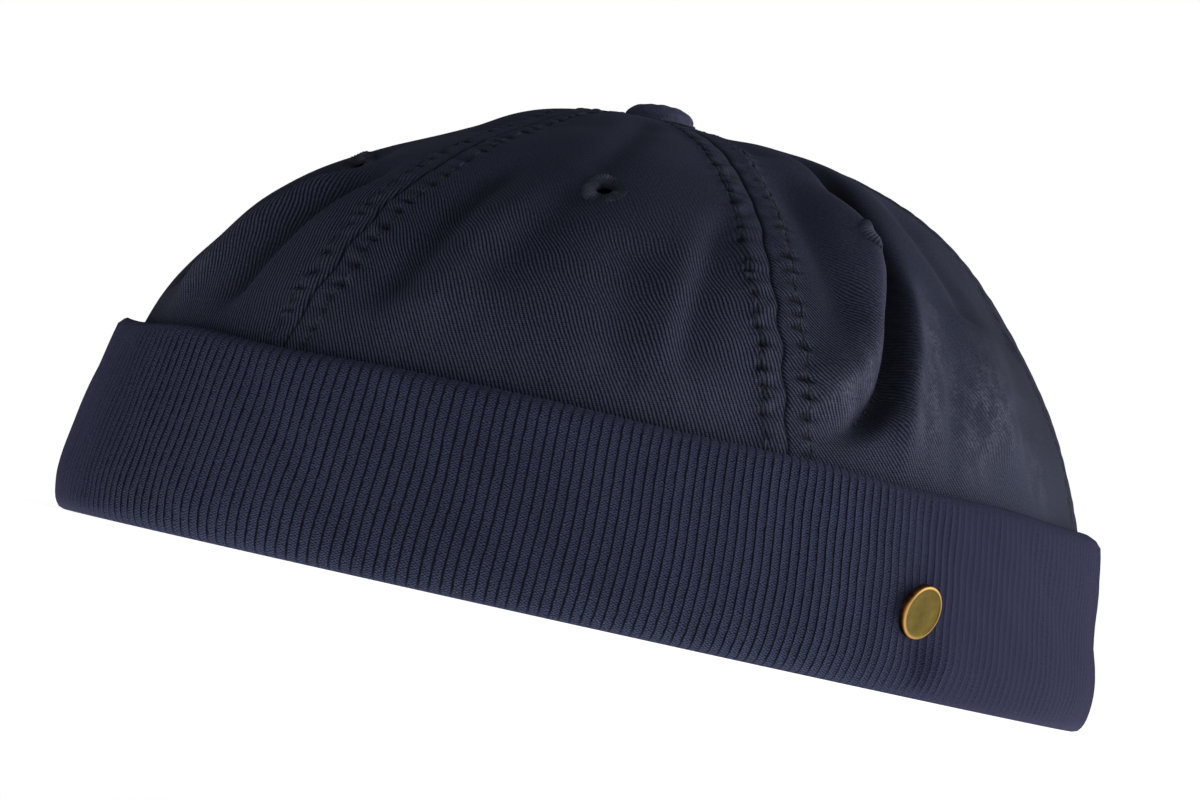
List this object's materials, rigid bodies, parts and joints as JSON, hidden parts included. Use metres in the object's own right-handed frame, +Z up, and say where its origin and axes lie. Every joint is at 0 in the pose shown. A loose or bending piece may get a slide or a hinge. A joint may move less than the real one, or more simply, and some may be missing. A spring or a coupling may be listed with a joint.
{
  "type": "docker cap",
  "caption": "Brimless docker cap: a domed twill crown sewn from panels, in a turned-up rib-knit cuff open at the back.",
  "frame": {"origin": "centre of the cap's outline in plan, on the surface that its rim rests on", "axes": "+Z up through the crown, -Y to the front of the cap, +X to the wearer's left"},
  "size_m": [0.1898, 0.2054, 0.0988],
  "materials": {
    "twill": "washed cotton twill with a slight satin sheen",
    "rib_knit": "matt cotton rib knit",
    "lining": "black cotton tape",
    "thread": "embroidery thread",
    "badge_metal": "worn satin brass with darker patina"
  },
  "bodies": {
    "root": {"crown_panel_1": "twill", "crown_panel_2": "twill", "crown_panel_3": "twill", "crown_panel_4": "twill", "crown_panel_5": "twill", "crown_panel_6": "twill", "eyelet_1": "thread", "eyelet_2": "thread", "eyelet_3": "thread", "eyelet_4": "thread", "eyelet_5": "thread", "eyelet_6": "thread", "top_button": "twill", "rib_cuff": "rib_knit", "badge": "badge_metal", "sweatband": "lining", "back_band": "twill"}
  },
  "joints": []
}
